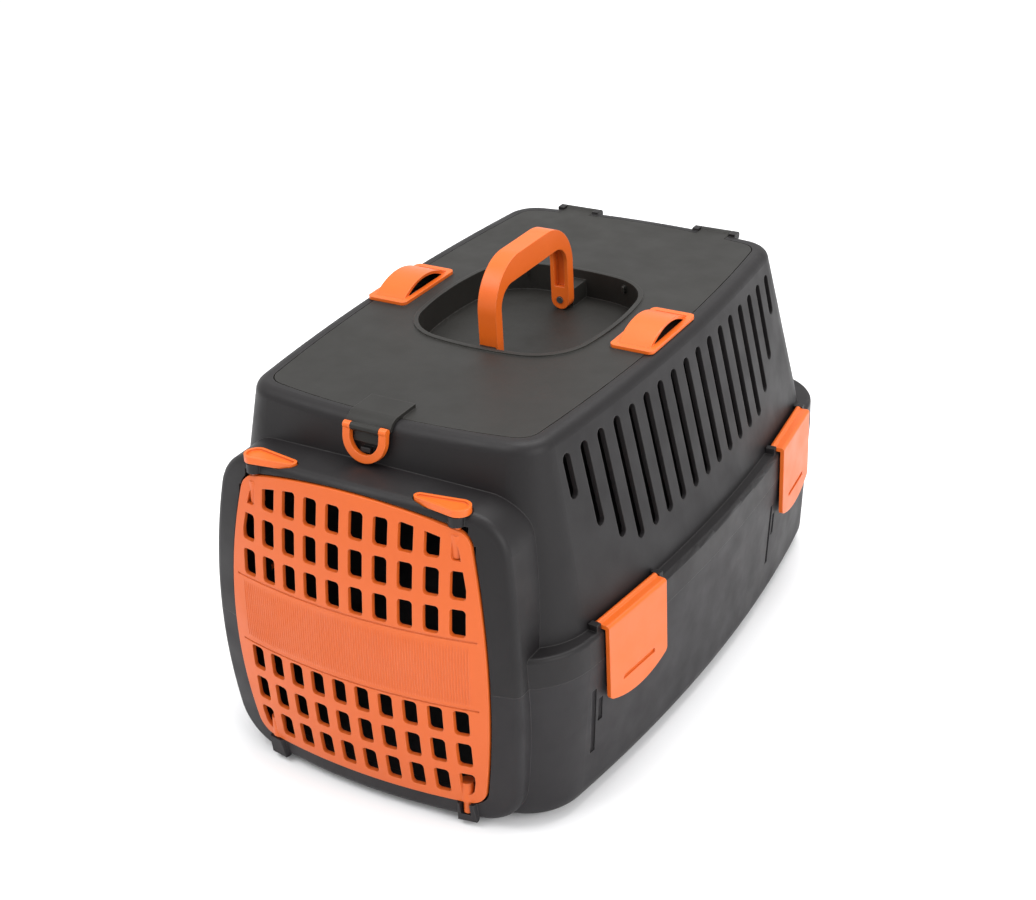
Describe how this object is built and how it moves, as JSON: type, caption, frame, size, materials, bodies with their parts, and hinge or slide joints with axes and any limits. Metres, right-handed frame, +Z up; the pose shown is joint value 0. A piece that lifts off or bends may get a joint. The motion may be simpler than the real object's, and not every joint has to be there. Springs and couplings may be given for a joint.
{
  "type": "cat carrier",
  "caption": "Plastic cat carrier with a grille door, vented upper shell, opening top lid, side clips, belt guides and a folding carry handle.",
  "frame": {"origin": "on the floor, under the middle of the bounding box", "axes": "+X to the right seen from the door, +Y from the door to the back, +Z up"},
  "size_m": [0.306, 0.4665, 0.306],
  "materials": {
    "charcoal_plastic": "fine-grained matte polypropylene",
    "orange_plastic": "satin polypropylene",
    "pin_steel": "drawn steel"
  },
  "bodies": {
    "shell": {"lower_shell": "charcoal_plastic", "upper_shell": "charcoal_plastic", "lid_hinge_pin_left": "pin_steel", "lid_hinge_pin_right": "pin_steel"},
    "lid": {"top_lid": "charcoal_plastic", "handle_pivot_front": "pin_steel", "handle_pivot_rear": "pin_steel", "belt_guide_left": "orange_plastic", "belt_guide_right": "orange_plastic"},
    "door": {"front_door": "orange_plastic"},
    "handle": {"carry_handle": "orange_plastic"},
    "latch": {"lid_latch_loop": "orange_plastic"},
    "pin_left": {"door_pin_left": "orange_plastic"},
    "pin_right": {"door_pin_right": "orange_plastic"},
    "clip_front_left": {"side_clip_front_left": "orange_plastic"},
    "clip_front_right": {"side_clip_front_right": "orange_plastic"},
    "clip_rear_left": {"side_clip_rear_left": "orange_plastic"},
    "clip_rear_right": {"side_clip_rear_right": "orange_plastic"}
  },
  "joints": [
    {"name": "door_swing", "type": "hinge", "parent": "shell", "child": "door", "pos_m": [-0.075, -0.21468, 0.11], "axis": [0, -0.0533, -0.9986], "range_deg": [0, 110]},
    {"name": "left_pin_lift", "type": "slide", "parent": "shell", "child": "pin_left", "axis": [0, 0.0533, 0.9986], "range_m": [0, 0.013]},
    {"name": "right_pin_lift", "type": "slide", "parent": "shell", "child": "pin_right", "axis": [0, 0.0533, 0.9986], "range_m": [0, 0.013]},
    {"name": "lid_swing", "type": "hinge", "parent": "shell", "child": "lid", "pos_m": [0, 0.19175, 0.2545], "axis": [-1, 0, 0], "range_deg": [0, 110]},
    {"name": "latch_swing", "type": "hinge", "parent": "lid", "child": "latch", "pos_m": [-0.004, -0.18398, 0.2525], "axis": [-1, 0, 0], "range_deg": [0, 100]},
    {"name": "handle_fold", "type": "hinge", "parent": "lid", "child": "handle", "pos_m": [0, 0.00725, 0.2445], "axis": [0, 1, 0], "range_deg": [-85, 85]},
    {"name": "front_left_clip_swing", "type": "hinge", "parent": "shell", "child": "clip_front_left", "pos_m": [-0.14063, -0.12117, 0.1326], "axis": [-0.1082, 0.9941, 0], "range_deg": [0, 90]},
    {"name": "front_right_clip_swing", "type": "hinge", "parent": "shell", "child": "clip_front_right", "pos_m": [0.14063, -0.12117, 0.1326], "axis": [-0.1082, -0.9941, 0], "range_deg": [0, 90]},
    {"name": "rear_left_clip_swing", "type": "hinge", "parent": "shell", "child": "clip_rear_left", "pos_m": [-0.14063, 0.13567, 0.1326], "axis": [0.1082, 0.9941, 0], "range_deg": [0, 90]},
    {"name": "rear_right_clip_swing", "type": "hinge", "parent": "shell", "child": "clip_rear_right", "pos_m": [0.14063, 0.13567, 0.1326], "axis": [0.1082, -0.9941, 0], "range_deg": [0, 90]}
  ]
}
